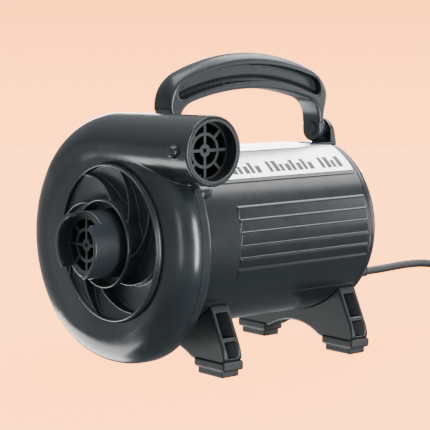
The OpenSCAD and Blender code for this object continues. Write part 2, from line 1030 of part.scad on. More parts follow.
module rear_bearing() {
    bearing(rear_bearing_y);
}

impeller_y = split_y - 10;
nut_l = 5;
thread_r = 3;

module motor_shaft() {
    color(steel)
        union() {
            ring_y(impeller_y - nut_l - 1.5, impeller_y, thread_r);
            ring_y(impeller_y - eps, rear_bearing_y + bearing_w + 4, shaft_r);
        }
}

module impeller() {
    impeller_r = 47;
    eye_r = 20;
    blade_h = 10;
    plate_y = impeller_y + blade_h;
    color(dark)
        difference() {
            union() {
                ring_y(plate_y, plate_y + 2, impeller_r + 1);
                ring_y(impeller_y, plate_y + 3, 9);
                for (i = [0 : blade_count - 1])
                    slab(impeller_y, plate_y + 1)
                        rotate(i * 360 / blade_count)
                            fin_outline(impeller_r, eye_r, -50, 1.6);
            }
            ring_y(impeller_y - 1, plate_y + 4, shaft_r);
        }
}

module impeller_nut() {
    color(steel)
        translate([axis_x, impeller_y - nut_l, axis_z])
            rotate([-90, 0, 0])
                difference() {
                    cylinder(h = nut_l, r = 5.77, $fn = 6);
                    translate([0, 0, -1])
                        cylinder(h = nut_l + 2, r = thread_r, $fn = medium);
                }
}

module cooling_fan() {
    fan_r = 38;
    fan_y = motor_y - 4;
    color(dark)
        difference() {
            union() {
                ring_y(fan_y, fan_y + 1.6, fan_r);
                ring_y(fan_y, fan_y + 14, 8);
                for (i = [0 : 9])
                    slab(fan_y + 1, fan_y + 13)
                        rotate(i * 36)
                            span(15, fan_r - 1, -0.8, 0.8);
            }
            ring_y(fan_y - 1, fan_y + 15, shaft_r);
        }
}

module armature_core() {
    color(iron)
        slab(core_y0, core_y1)
            difference() {
                circle(armature_r, $fn = fine);
                circle(shaft_r, $fn = fine);
                for (i = [0 : slot_count - 1])
                    rotate(i * 360 / slot_count)
                        union() {
                            span(12, 17, -2, 2);
                            span(16, armature_r + 1, -0.8, 0.8);
                        }
            }
}

module armature_windings() {
    winding_l = 9;
    color(copper)
        for (y = [core_y0 - winding_l, core_y1])
            turned()
                difference() {
                    span(shaft_r + 1, 17.5, y, y + winding_l);
                    translate([17.5, y + winding_l / 2])
                        rotate(45)
                            square(1.5, center = true);
                }
}

commutator_y = core_y1 + 12;

module commutator() {
    commutator_l = 16;
    bars = 2 * slot_count;
    color(copper)
        slab(commutator_y, commutator_y + commutator_l)
            difference() {
                circle(11.5, $fn = fine);
                circle(shaft_r, $fn = fine);
                for (i = [0 : bars - 1])
                    rotate(i * 360 / bars)
                        span(10.6, 12, -0.25, 0.25);
            }
}

coil_half_x = 27;
coil_top = 29;

module field_core() {
    color(iron)
        slab(core_y0, core_y1)
            difference() {
                circle(stator_r, $fn = fine);
                circle(armature_r + 0.7, $fn = fine);
                for (side = [-1, 1], end = [-1, 1])
                    scale([side, end])
                        span(16, coil_half_x + 0.2, 4, 19);
            }
}

// Two flat field coils: side bars in the core's windows, joined by an arch past each end
module field_coils() {
    overhang = 9;
    color(copper)
        for (end = [-1, 1])
            difference() {
                union() {
                    for (side = [-1, 1])
                        slab(core_y0 - 1, core_y1 + 1)
                            scale([side, end])
                                span(21, coil_half_x, 4.5, 18.5);
                    for (y = [core_y0 - overhang, core_y1])
                        slab(y, y + overhang)
                            scale([1, end])
                                span(-coil_half_x, coil_half_x, 4.5, coil_top);
                }
                ring_y(core_y0 - 20, core_y1 + 20, armature_r + 1);
            }
}

brush_y = commutator_y + 8;
holder_l = 24;

module brush_holders() {
    color(brass_yellow)
        for (side = [-1, 1])
            translate([axis_x + side * (13 + holder_l / 2), brush_y, axis_z])
                difference() {
                    cube([holder_l, 10, 8], center = true);
                    translate([-side * 1, 0, 0])
                        cube([holder_l, 8, 6], center = true);
                }
}

module carbon_brushes() {
    color([0.1, 0.1, 0.1])
        for (side = [-1, 1])
            translate([axis_x + side * (11.6 + 6), brush_y, axis_z])
                cube([12, 7.9, 5.9], center = true);
}

module brush_springs() {
    color(steel)
        for (side = [-1, 1])
            translate([axis_x + side * 23.7, brush_y, axis_z])
                rotate([0, side * 90, 0])
                    difference() {
                        cylinder(h = 12.2, r = 2.6, $fn = small);
                        translate([0, 0, -1])
                            cylinder(h = 20, r = 1.8, $fn = small);
                    }
}

module terminal_block() {
    color([0.85, 0.84, 0.8])
        translate([axis_x - 2, cap_y - 16, axis_z - 50])
            difference() {
                cube([26, 12, 13]);
                for (i = [0 : 2])
                    translate([5 + i * 8, 6, 4])
                        cylinder(h = 10, r = 2, $fn = small);
            }
}

module suppressor_capacitor() {
    color([0.75, 0.6, 0.15])
        translate([axis_x - 16, cap_y - 32, axis_z - 44])
            cube([20, 12, 16]);
}

module thermal_cutout() {
    color([0.9, 0.9, 0.85])
        translate([axis_x - 8, core_y1 + 1, axis_z + coil_top + 0.02])
            cube([16, 7, 4]);
}

module cord_clamp() {
    color(dark)
        difference() {
            translate([cord_x - 9, rear_y - wall - 13, cord_z - 5])
                cube([18, 7, 10]);
            rod_y(cord_x, cord_z, rear_y - wall - 20, rear_y, cord_r + 0.02);
        }
}

volute_front_cover();
volute_rear_shell();
swirl_inlet_plate();
inlet_nozzle();
inlet_grille();
outlet_grille();
volute_screws();
housing_upper_shell();
housing_lower_shell();
label_plate();
rear_cap();
rear_cap_screws();
switch_frame();
switch_rocker();
cord_strain_relief();
power_cord();
cord_coil();
cord_tail();
plug_body();
plug_pins();
carry_handle();
handle_lug_front();
handle_lug_rear();
handle_pins();
foot_saddle_front();
foot_saddle_rear();
foot_pads();
saddle_screws();
front_bearing_bracket();
rear_bearing_bracket();
front_bearing();
rear_bearing();
motor_shaft();
impeller();
impeller_nut();
cooling_fan();
armature_core();
armature_windings();
commutator();
field_core();
field_coils();
brush_holders();
carbon_brushes();
brush_springs();
terminal_block();
suppressor_capacitor();
thermal_cutout();
cord_clamp();
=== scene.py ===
"""Electric air pump with a folding carry handle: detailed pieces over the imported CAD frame."""

import json
import math

import bmesh
import bpy
import numpy as np
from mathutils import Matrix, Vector


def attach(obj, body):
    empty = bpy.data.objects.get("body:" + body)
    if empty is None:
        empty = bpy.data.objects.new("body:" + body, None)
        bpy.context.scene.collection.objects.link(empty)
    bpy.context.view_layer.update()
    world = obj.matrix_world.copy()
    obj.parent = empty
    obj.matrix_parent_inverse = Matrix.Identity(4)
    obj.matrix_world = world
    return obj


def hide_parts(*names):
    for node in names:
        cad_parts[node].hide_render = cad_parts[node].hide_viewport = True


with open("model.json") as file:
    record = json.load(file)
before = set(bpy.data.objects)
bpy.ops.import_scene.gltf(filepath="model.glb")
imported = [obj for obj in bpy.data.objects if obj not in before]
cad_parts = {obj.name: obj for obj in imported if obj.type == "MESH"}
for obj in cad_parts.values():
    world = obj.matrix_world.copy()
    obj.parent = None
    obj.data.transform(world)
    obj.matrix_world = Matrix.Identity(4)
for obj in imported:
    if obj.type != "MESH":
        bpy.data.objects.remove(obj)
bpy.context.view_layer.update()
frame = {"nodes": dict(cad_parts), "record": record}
nodes = frame["nodes"]
scene = bpy.context.scene
MM = 0.001

# ---- Sizes of the frame, in millimetres ----
AXIS_X, AXIS_Z = 8.0, 89.0
FRONT, FACE, SPLIT, FLANGE, CAP, REAR = -114.403, -87.903, -64.903, -56.903, 96.097, 110.097
SCROLL_X, SCROLL_Z, SCROLL_R = -5.5, 87.3, 83.5
MOUTH, PIPE_Z = 89.0, 153.0
PLATE_R, COLLAR_R, NOZZLE_R, NOZZLE_BORE = 52.4, 28.75, 22.5, 19.5
HOUSING_R, FLAT, WALL = 62, 57, 3
HANDLE_Y, PIVOT_Z, LEG_OUT, HALF_LENGTH = 31.7, 157.5, 70, 73.4
SADDLE_FRONT, SADDLE_REAR, SADDLE_HALF = -38.5, 81.0, 8
SWITCH_X, SWITCH_Z = -14, 52
CORD_X, CORD_Z, CORD_R = 29.0, 51.0, 3.0
COIL_X, COIL_Y = 92.0, 222.0
PLUG_X, PLUG_Y, PLUG_Z = 118, 213, 31.5

# ---- Camera ----
camera = bpy.data.objects.new("camera", bpy.data.cameras.new("camera"))
scene.collection.objects.link(camera)
camera.location = (0.8414, -0.7088, 0.22834)
camera.rotation_euler = (math.radians(90 - 6.6455), 0, math.radians(49.416))
camera.data.lens = 132.80
camera.data.sensor_width = 36
camera.data.clip_start, camera.data.clip_end = 0.01, 50
scene.camera = camera


# ---- Helpers ----

def link(name, mesh):
    piece = bpy.data.objects.new(name, mesh)
    scene.collection.objects.link(piece)
    return piece


def build(name, points, faces, normals=None, smooth=True):
    """A mesh object from points in millimetres."""
    mesh = bpy.data.meshes.new(name)
    mesh.from_pydata((np.asarray(points, float) * MM).tolist(), [], [list(map(int, f)) for f in faces])
    mesh.update()
    mesh.polygons.foreach_set("use_smooth", [smooth] * len(mesh.polygons))
    if normals is not None:
        mesh.normals_split_custom_set_from_vertices(np.asarray(normals, float).tolist())
    return link(name, mesh)


def outward(piece):
    """Makes every face point out of the closed mesh."""
    bm = bmesh.new()
    bm.from_mesh(piece.data)
    bmesh.ops.recalc_face_normals(bm, faces=bm.faces)
    bm.to_mesh(piece.data)
    bm.free()
    return piece


def bevel(piece, width, angle=35, segments=2):
    """Rounds the sharp edges of a piece, by a width in millimetres."""
    m = piece.modifiers.new("edges", "BEVEL")
    m.width = width * MM
    m.segments = segments
    m.limit_method = "ANGLE"
    m.angle_limit = math.radians(angle)
    m.harden_normals = False
    return piece


def quick_or(full):
    return full


def ease(t):
    return 3 * t ** 2 - 2 * t ** 3


def smin(a, b, k):
    """Union of two distance fields, with a fillet of about k."""
    h = np.clip(0.5 + 0.5 * (b - a) / k, 0, 1)
    return b * (1 - h) + a * h - k * h * (1 - h)


def smax(a, b, k):
    """Intersection of two distance fields, with an edge rounded by about k."""
    return -smin(-a, -b, k)


def box_field(x, y, z, centre, half, r):
    """Distance to a box with edges rounded to a radius r."""
    qx = np.abs(x - centre[0]) - half[0] + r
    qy = np.abs(y - centre[1]) - half[1] + r
    qz = np.abs(z - centre[2]) - half[2] + r
    outside = np.sqrt(np.maximum(qx, 0) ** 2 + np.maximum(qy, 0) ** 2 + np.maximum(qz, 0) ** 2)
    return outside + np.minimum(np.maximum(np.maximum(qx, qy), qz), 0) - r


def gradient(field, p, h):
    """Slope of a field at points p, from four samples at a distance h."""
    g = np.zeros_like(p)
    for e in ((1, -1, -1), (-1, -1, 1), (-1, 1, -1), (1, 1, 1)):
        e = np.array(e, float)
        q = p + e * h
        g += e * field(q[:, 0], q[:, 1], q[:, 2])[:, None]
    return g / (4 * h)


def net(field, low, high, step):
    """Vertices, quads and normals of the surface where a field of (x, y, z) is zero."""
    low = np.array(low, float)
    count = np.ceil((np.array(high, float) - low) / step).astype(int) + 1
    ax = [low[i] + step * np.arange(count[i]) for i in range(3)]
    value = np.empty(count)
    for i in range(0, count[0], 16):
        x, y, z = np.meshgrid(ax[0][i:i + 16], ax[1], ax[2], indexing="ij")
        value[i:i + 16] = field(x, y, z)
    inside = value < 0
    total = np.zeros(count - 1, np.int8)
    corners = [(i, j, k) for i in (0, 1) for j in (0, 1) for k in (0, 1)]
    for i, j, k in corners:
        total += inside[i:count[0] - 1 + i, j:count[1] - 1 + j, k:count[2] - 1 + k]
    active = (total > 0) & (total < 8)
    cells = np.argwhere(active)
    index = np.full(active.shape, -1)
    index[active] = np.arange(len(cells))
    acc, hits = np.zeros((len(cells), 3)), np.zeros(len(cells))
    for a in corners:
        for axis in range(3):
            if a[axis]:
                continue
            b = np.array(a)
            b[axis] = 1
            ca, cb = cells + np.array(a), cells + b
            va = value[ca[:, 0], ca[:, 1], ca[:, 2]]
            vb = value[cb[:, 0], cb[:, 1], cb[:, 2]]
            cross = (va < 0) != (vb < 0)
            t = va[cross] / (va[cross] - vb[cross])
            acc[cross] += np.array(a) + t[:, None] * (b - np.array(a))
            hits[cross] += 1
    p = low + step * (cells + acc / hits[:, None])
    quads = []
    for axis in range(3):
        u, w = (axis + 1) % 3, (axis + 2) % 3
        first = [slice(None)] * 3
        second = [slice(None)] * 3
        first[axis], second[axis] = slice(0, -1), slice(1, None)
        a, b = inside[tuple(first)], inside[tuple(second)]
        e = np.argwhere(a != b)
        e = e[(e[:, u] > 0) & (e[:, w] > 0) & (e[:, u] < count[u] - 1) & (e[:, w] < count[w] - 1)]
        du, dw = np.zeros(3, int), np.zeros(3, int)
        du[u], dw[w] = 1, 1
        ring = [index[tuple(c.T)] for c in (e, e - du, e - du - dw, e - dw)]
        q = np.stack(ring, 1)
        flip = ~a[tuple(e.T)]
        q[flip] = q[flip][:, ::-1]
        quads.append(q)
    quads = np.concatenate(quads)
    for _ in range(5):
        g = gradient(field, p, 0.05)
        f = field(p[:, 0], p[:, 1], p[:, 2])
        move = -(f / np.maximum((g ** 2).sum(1), 0.05))[:, None] * g
        length = np.linalg.norm(move, axis=1, keepdims=True)
        p += move * np.minimum(1, 0.4 * step / np.maximum(length, 1e-9))
    n = gradient(field, p, 0.12)
    n /= np.maximum(np.linalg.norm(n, axis=1, keepdims=True), 1e-9)
    return p, quads, n


def moulded(name, field, low, high, step):
    """A smooth closed piece from a distance field, inside the box from low to high."""
    p, quads, n = net(field, low, high, step)
    return build(name, p, quads, n)


def grid_shell(name, outer, inner):
    """A closed shell from two open sheets of points, each an array (rows, columns, 3)."""
    rows, cols = outer.shape[:2]
    points = np.concatenate([outer.reshape(-1, 3), inner.reshape(-1, 3)])
    at = np.arange(rows * cols).reshape(rows, cols)
    faces = []
    for base, turn in ((0, 1), (rows * cols, -1)):
        a = at + base
        q = np.stack([a[:-1, :-1], a[1:, :-1], a[1:, 1:], a[:-1, 1:]], -1).reshape(-1, 4)
        faces.append(q[:, ::turn])
    rim = np.concatenate([at[0, :-1], at[:-1, -1], at[-1, :0:-1], at[:0:-1, 0]])
    nxt = np.roll(rim, -1)
    faces.append(np.stack([rim, nxt, nxt + rows * cols, rim + rows * cols], 1))
    return outward(build(name, points, np.concatenate(faces)))


def turned(name, profile, centre, axis="y", steps=64):
    """A closed ring from a loop of (radius, along) points, turned about an axis through centre."""
    profile = np.asarray(profile, float)
    a = np.linspace(0, 2 * np.pi, steps, endpoint=False)
    r, h = profile[:, 0], profile[:, 1]
    first, second = np.outer(np.cos(a), r), np.outer(np.sin(a), r)
    along = np.outer(np.ones(steps), h)
    order = {"y": (first, along, second), "x": (along, first, second), "z": (first, second, along)}
    p = np.stack(order[axis], -1) + np.array(centre)
    k, m = p.shape[:2]
    at = np.arange(k * m).reshape(k, m)
    nxt, up = np.roll(at, -1, 0), np.roll(at, -1, 1)
    faces = np.stack([at, up, np.roll(nxt, -1, 1), nxt], -1).reshape(-1, 4)
    return outward(build(name, p.reshape(-1, 3), faces))


def cut_at(piece, y, keep_below):
    """Cuts a closed mesh at a height along Y and closes it again."""
    bm = bmesh.new()
    bm.from_mesh(piece.data)
    geom = bm.verts[:] + bm.edges[:] + bm.faces[:]
    cut = bmesh.ops.bisect_plane(
        bm, geom=geom, plane_co=(0, y * MM, 0), plane_no=(0, 1, 0),
        clear_outer=keep_below, clear_inner=not keep_below, dist=1e-7,
    )
    edges = [e for e in cut["geom_cut"] if isinstance(e, bmesh.types.BMEdge)]
    filled = bmesh.ops.triangle_fill(bm, edges=edges, use_beauty=True, use_dissolve=False)
    for f in filled["geom"]:
        if isinstance(f, bmesh.types.BMFace):
            f.smooth = False
    bmesh.ops.recalc_face_normals(bm, faces=bm.faces)
    bm.to_mesh(piece.data)
    bm.free()
    return piece


# ---- Materials ----

def material(name, colour, roughness, metallic=0.0, grain=900.0, bump=0.05, wave=60.0, tone=0.12,
             rough_spread=0.035, coat=0.0, specular=0.5):
    """A node material with mottled tone, varied roughness and a fine grain in relief."""
    m = bpy.data.materials.new(name)
    m.use_nodes = True
    t = m.node_tree
    shader = next(n for n in t.nodes if n.type == "BSDF_PRINCIPLED")
    place = t.nodes.new("ShaderNodeTexCoord").outputs["Object"]

    def noise(scale, detail, rough):
        n = t.nodes.new("ShaderNodeTexNoise")
        n.inputs["Scale"].default_value = scale
        n.inputs["Detail"].default_value = detail
        n.inputs["Roughness"].default_value = rough
        t.links.new(place, n.inputs["Vector"])
        return n.outputs["Fac"]

    def ramp(source, low, high):
        r = t.nodes.new("ShaderNodeMapRange")
        r.inputs["From Min"].default_value, r.inputs["From Max"].default_value = 0.25, 0.75
        r.inputs["To Min"].default_value, r.inputs["To Max"].default_value = low, high
        t.links.new(source, r.inputs["Value"])
        return r.outputs["Result"]

    broad = noise(wave, 3, 0.55)
    mix = t.nodes.new("ShaderNodeMix")
    mix.data_type = "RGBA"
    t.links.new(ramp(broad, 0, 1), mix.inputs["Factor"])
    mix.inputs["A"].default_value = (*[c * (1 - tone) for c in colour], 1)
    mix.inputs["B"].default_value = (*[c * (1 + tone) for c in colour], 1)
    t.links.new(mix.outputs["Result"], shader.inputs["Base Color"])
    t.links.new(ramp(noise(wave * 2.5, 3, 0.5), roughness - rough_spread, roughness + rough_spread),
                shader.inputs["Roughness"])
    relief = t.nodes.new("ShaderNodeBump")
    relief.inputs["Strength"].default_value = bump
    relief.inputs["Distance"].default_value = 0.0002
    t.links.new(noise(grain, 4, 0.6), relief.inputs["Height"])
    t.links.new(relief.outputs["Normal"], shader.inputs["Normal"])
    shader.inputs["Metallic"].default_value = metallic
    shader.inputs["Specular IOR Level"].default_value = specular
    if coat:
        shader.inputs["Coat Weight"].default_value = coat
        shader.inputs["Coat Roughness"].default_value = 0.15
    return m


looks = {
    "volute_plastic": material("volute plastic", (0.0170, 0.0212, 0.0248), 0.22, bump=0.03),
    "inlet_plastic": material("inlet plastic", (0.0205, 0.0255, 0.0298), 0.31, bump=0.02),
    "grille_plastic": material("grille plastic", (0.0155, 0.0175, 0.0195), 0.42, bump=0.10),
    "housing_plastic": material("housing plastic", (0.0115, 0.0145, 0.0170), 0.23, bump=0.03),
    "cap_plastic": material("cap plastic", (0.0125, 0.0158, 0.0187), 0.28, bump=0.05),
    "handle_plastic": material("handle plastic", (0.0155, 0.0192, 0.0222), 0.30, bump=0.05),
    "saddle_plastic": material("saddle plastic", (0.0065, 0.0084, 0.0100), 0.40, bump=0.08),
    "foot_rubber": material("foot rubber", (0.0130, 0.0142, 0.0155), 0.58, bump=0.30, grain=1400),
    "cord_rubber": material("cord rubber", (0.024, 0.025, 0.026), 0.48, bump=0.22, grain=1600),
    "rocker_plastic": material("rocker plastic", (0.30, 0.012, 0.010), 0.30, bump=0.06, coat=0.3),
    "zinc_steel": material("zinc plated steel", (0.56, 0.57, 0.58), 0.32, 1.0, grain=2500, bump=0.10),
    "blackened_steel": material("blackened steel", (0.045, 0.048, 0.052), 0.42, 0.6, grain=2500, bump=0.10),
    "pin_chrome": material("chromed steel", (0.64, 0.64, 0.65), 0.18, 1.0, grain=3000, bump=0.05),
    "label_foil": material(
        "silvered label", (0.96, 0.965, 0.97), 0.30, 0.75, grain=500, bump=0.03, tone=0.03
    ),
    "label_ink": material("label ink", (0.030, 0.032, 0.038), 0.5, grain=1500, bump=0.08),
    "bracket_plastic": material("bracket plastic", (0.05, 0.052, 0.055), 0.55, bump=0.2),
    "bearing_steel": material("bearing steel", (0.55, 0.55, 0.56), 0.22, 1.0, grain=2500, bump=0.05),
    "fan_plastic": material("fan plastic", (0.10, 0.105, 0.11), 0.45, bump=0.15),
    "core_steel": material("laminated steel", (0.24, 0.24, 0.25), 0.42, 0.9, grain=4000, bump=0.3),
    "copper_wire": material("enamelled copper", (0.50, 0.20, 0.08), 0.30, 0.85, grain=3500, bump=0.4),
    "holder_brass": material("brass", (0.60, 0.44, 0.16), 0.30, 1.0, grain=2500, bump=0.1),
    "carbon": material("carbon", (0.03, 0.03, 0.032), 0.7, grain=3000, bump=0.3),
    "block_plastic": material("terminal plastic", (0.66, 0.64, 0.58), 0.45, bump=0.1),
    "capacitor_plastic": material("capacitor plastic", (0.55, 0.38, 0.06), 0.40, bump=0.1),
}

slot_of = {row["node"]: row["material_slot"] for row in frame["record"]["subparts"]}


def dress(piece, slot, look=None):
    piece.data.materials.clear()
    piece.data.materials.append(looks[look or slot])
    return piece


def finish_piece(piece, body, slot, *stands_for):
    dress(piece, slot)
    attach(piece, body)
    if stands_for:
        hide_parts(*stands_for)
    return piece


for n, o in nodes.items():
    o.data.materials.clear()
    dark = n in ("volute_screws", "handle_pins", "saddle_screws")
    o.data.materials.append(looks["blackened_steel" if dark else slot_of[n]])

# ---- Mains lead ----

lead = [
    (29, 110.1, 51), (29, 117, 51), (29, 124.1, 51), (29.1, 138, 50.7), (29.3, 149, 50.8), (29.5, 160, 51.2),
    (29.7, 171, 51.6), (30, 183, 51.6), (30.2, 194, 51), (30.8, 205, 49.5), (32.2, 217, 47), (36, 230, 43.5),
    (45, 243, 38.5), (56, 252, 33), (67.5, 256.5, 27.5), (79.5, 258, 23.2),
]
tail = [(101.5, 250, 22), (109.5, 244.5, 26), (115.5, 236, 29.5), (118, 227, 31.5), (118, 217, 31.5)]
TURN_POINTS = 20
OUTER_TURNS, INNER_TURNS = 3, 3
OUTER_R, INNER_R, COIL_RISE = 36, 30, 17.4
for i in range((OUTER_TURNS + INNER_TURNS) * TURN_POINTS + 1):
    # The outer turns wind down to the surface, then the inner ones wind up inside them
    t = i / TURN_POINTS
    inward = np.clip((t - 2.85) / 0.3, 0, 1)
    r = OUTER_R - (OUTER_R - INNER_R) * ease(inward)
    z = CORD_R + 0.02 + COIL_RISE * abs(OUTER_TURNS - t) / OUTER_TURNS
    a = math.radians(90) - 2 * math.pi * t
    lead.append((COIL_X + r * math.cos(a), COIL_Y + r * math.sin(a), z))
lead += tail
line = bpy.data.curves.new("mains_lead", "CURVE")
line.dimensions = "3D"
spline = line.splines.new("BEZIER")
spline.bezier_points.add(len(lead) - 1)
for point, place in zip(spline.bezier_points, lead):
    point.co = Vector(place) * MM
    point.handle_left_type = point.handle_right_type = "AUTO"
spline.resolution_u = 4
line.bevel_depth = CORD_R * MM
line.bevel_resolution = 5
line.use_fill_caps = True
mains_lead = link("mains_lead", line)
line.materials.append(looks["cord_rubber"])
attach(mains_lead, "body")
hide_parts("power_cord", "cord_coil", "cord_tail")


def relief_profile():
    """Radius against length of the moulded strain relief, with its ring grooves, as a closed loop."""
    out = [(7.2, 0.02), (7.75, 0.5), (7.75, 2.4), (7.2, 3.0), (5.6, 3.2)]
    for i in range(6):
        y = 4.4 + i * 3.1
        r = 5.45 - (y - 3) * 0.066
        out += [(r, y - 0.6), (r, y + 0.7), (r - 0.75, y + 1.0), (r - 0.8, y + 1.7), (r - 0.1, y + 2.1)]
    out += [(4.1, 23.4), (3.8, 23.95), (3.02, 24.0)]
    inside = [(3.02, -9.0), (5.4, -9.0), (5.4, 0.02)]
    return out + inside


strain_relief = turned("strain_relief_sleeve", relief_profile(), (CORD_X, REAR, CORD_Z), steps=56)
bevel(strain_relief, 0.18, 30)
finish_piece(strain_relief, "body", "cord_rubber", "cord_strain_relief")


def plug_field(x, y, z):
    dx, dy, dz = x - PLUG_X, y - PLUG_Y, z - PLUG_Z
    # The body narrows a little half-way, where fingers hold it
    waist = 1.1 * np.exp(-((dy + 14) / 7.5) ** 2)
    body = np.hypot(np.maximum(np.abs(dx) - 6, 0), dz) - (7.9 - waist)
    body = smax(smax(body, dy, 3.0), -30 - dy, 2.0)
    # The ringed sleeve tapers from the body towards the lead
    r = np.hypot(dx, dz)
    sleeve = r - (6.5 - 2.3 * np.clip(dy, 0, 12) / 12 - 0.35 * (0.5 + 0.5 * np.cos(dy * 2 * np.pi / 2.6)))
    sleeve = smax(sleeve, dy - 11.9, 0.8)
    sleeve = smax(sleeve, -dy - 3, 0.8)
    return smin(body, sleeve, 1.2)


plug = moulded("mains_plug", plug_field, (102, 181, 22), (134, 227, 41), 0.55)
finish_piece(plug, "body", "cord_rubber", "plug_body")

# The tie is a band round all the turns, with rounded corners
tie_angle = math.radians(-38)
TIE_R, TIE_Z, TIE_HALF_WIDTH = 33, 11.75, 2.2
tie_loop = []
for i in range(48):
    a = 2 * math.pi * i / 48
    u = math.copysign(abs(math.cos(a)) ** 0.55, math.cos(a))
    v = math.copysign(abs(math.sin(a)) ** 0.4, math.sin(a))
    tie_loop.append((TIE_R + 6.25 * u, TIE_Z + 11.7 * v, TIE_R + 5.75 * u, TIE_Z + 11.2 * v))
rings = []
for ro, zo, ri, zi in tie_loop:
    ring = []
    for r, z, side in ((ro, zo, -1), (ro, zo, 1), (ri, zi, 1), (ri, zi, -1)):
        w = side * TIE_HALF_WIDTH
        ring.append((
            COIL_X + r * math.cos(tie_angle) - w * math.sin(tie_angle),
            COIL_Y + r * math.sin(tie_angle) + w * math.cos(tie_angle), z,
        ))
    rings.append(ring)
rings = np.array(rings)
at = np.arange(len(rings) * 4).reshape(-1, 4)
nxt = np.roll(at, -1, 0)
loop_faces = np.stack([at, np.roll(at, -1, 1), np.roll(nxt, -1, 1), nxt], -1).reshape(-1, 4)
coil_tie = outward(build("coil_tie", rings.reshape(-1, 3), loop_faces))
bevel(coil_tie, 0.12, 50)
finish_piece(coil_tie, "body", "cord_rubber")


# ---- Volute: one moulded skin, parted at its seam ----

def volute_field(x, y, z):
    """The whole snail: a round body, the duct that swells round it, and the straight outlet pipe."""
    sx, sz = x - SCROLL_X, z - SCROLL_Z
    turn = np.degrees(np.arctan2(sz, sx)) % 360
    w = np.interp(turn, [0, 95, 185, 240, 300, 360], [1, 1, 0, 0, 1, 1])
    face = FACE + 3.7 * ease(w)
    rho = np.hypot(sx, sz)
    corner = 20
    a, b = rho - (SCROLL_R - corner), face + corner - y
    rounded = np.hypot(np.maximum(a, 0), np.maximum(b, 0)) + np.minimum(np.maximum(a, b), 0) - corner
    body = smax(rounded, y - FLANGE, 2.4)
    # Outlet pipe, straight along +X
    pr = np.interp(x, [SCROLL_X, MOUTH], [20.9, 22.6])
    pipe = np.hypot(y - SPLIT, z - PIPE_Z) - pr
    pipe = smax(pipe, x - MOUTH, 1.6)
    # Its duct goes on round the scroll and fades into the face
    centre_r = np.interp(turn, [90, 150], [65.7, 63.5])
    duct_r = np.interp(turn, [90, 150, 230, 300, 360], [20.9, 20, 20, 12, 12])
    centre_y = np.interp(turn, [90, 140], [SPLIT, FACE + 20])
    duct = np.hypot(rho - centre_r, y - centre_y) - duct_r
    duct = smax(duct, y - (FLANGE + np.interp(turn, [90, 125], [14, 0])), 2.4)
    tube = np.where(x >= SCROLL_X, pipe, duct)
    f = smin(body, tube, 1.5)
    # Rounded peg across the pipe
    peg = np.hypot(x - (MOUTH - 12.7), z - PIPE_Z) - 4
    peg = smax(peg, np.abs(y - SPLIT) - 25.8, 2.6)
    f = smin(f, peg, 0.9)
    # Screw bosses behind the flange
    for px, pz in boss_places:
        boss = np.hypot(x - px, z - pz) - 4.5
        boss = smax(boss, y - (FLANGE + 6), 0.8)
        boss = smax(boss, SPLIT - y, 0.8)
        f = smin(f, boss, 1.2)
    # Seat of the inlet plate and bore of the pipe
    pocket = np.maximum(np.hypot(x - AXIS_X, z - AXIS_Z) - (PLATE_R + 0.25), y - (FLANGE - 3))
    f = smax(f, -pocket, 0.7)
    r = np.hypot(y - SPLIT, z - PIPE_Z)
    bore = np.minimum(np.maximum(r - 20.6, 66.8 - x), np.maximum(r - 18.2, 30 - x))
    return smax(f, -bore, 0.6)


def polar(x, z, r, angle):
    """A point (x, z) at a radius and an angle in degrees about a centre."""
    return (x + r * math.cos(math.radians(angle)), z + r * math.sin(math.radians(angle)))


boss_places = [polar(AXIS_X, AXIS_Z, 67, 32)]
boss_places += [polar(SCROLL_X, SCROLL_Z, 76.5, a) for a in (128, 170, 215, 262)]
skin = net(volute_field, (-91, -92, 1), (91, -38, 177), quick_or(0.9))
for name, y, below, node in (
    ("volute_cover_skin", SPLIT - 0.16, True, "volute_front_cover"),
    ("volute_shell_skin", SPLIT + 0.16, False, "volute_rear_shell"),
):
    piece = cut_at(build(name, *skin), y, below)
    finish_piece(piece, "body", "volute_plastic", node)


# ---- Inlet: finned plate and nozzle ----

def plate_field(x, y, z):
    """Dished round plate with eight curved fins, a rim lip and a collar round the nozzle."""
    dx, dz = x - AXIS_X, z - AXIS_Z
    r = np.hypot(dx, dz)
    floor = np.where(r > COLLAR_R, FACE + np.interp(r, [29.5, 51.2], [6.8, 2.4]), FACE + 4)
    f = smax(floor - y, r - PLATE_R, 0.5)
    f = smax(f, y - (FACE + 9.5), 0.5)
    rim = np.hypot(r - 51.6, y - np.clip(y, FACE, FACE + 3)) - 0.8
    collar = np.hypot(r - COLLAR_R, y - np.clip(y, FACE - 5.25, FACE + 7)) - 0.75
    # Each fin turns by one eighth of the circle on its way out
    pitch = 45
    phi = np.degrees(np.arctan2(dz, dx)) - 123 + pitch * (52 - r) / 23
    off = np.radians((phi + pitch / 2) % pitch - pitch / 2) * r / np.sqrt(1 + (r * 0.0341) ** 2)
    top = FACE + np.interp(r, [29.5, 51.5], [-2.6, 0])
    fin = np.abs(off) - (0.62 + 0.05 * np.clip(y - top, 0, 10))
    fin = smax(fin, top - y, 0.7)
    fin = np.maximum(fin, np.maximum(28.6 - r, r - 51.7))
    fin = np.maximum(fin, y - (FACE + 9))
    f = smin(f, fin, 1.2)
    f = smin(smin(f, rim, 0.6), collar, 0.8)
    return smax(f, 22.6 - r, 0.4)


plate = moulded("inlet_plate_moulding", plate_field, (-46, -96, 35), (62, -76, 143), quick_or(0.5))
finish_piece(plate, "body", "inlet_plastic", "swirl_inlet_plate")


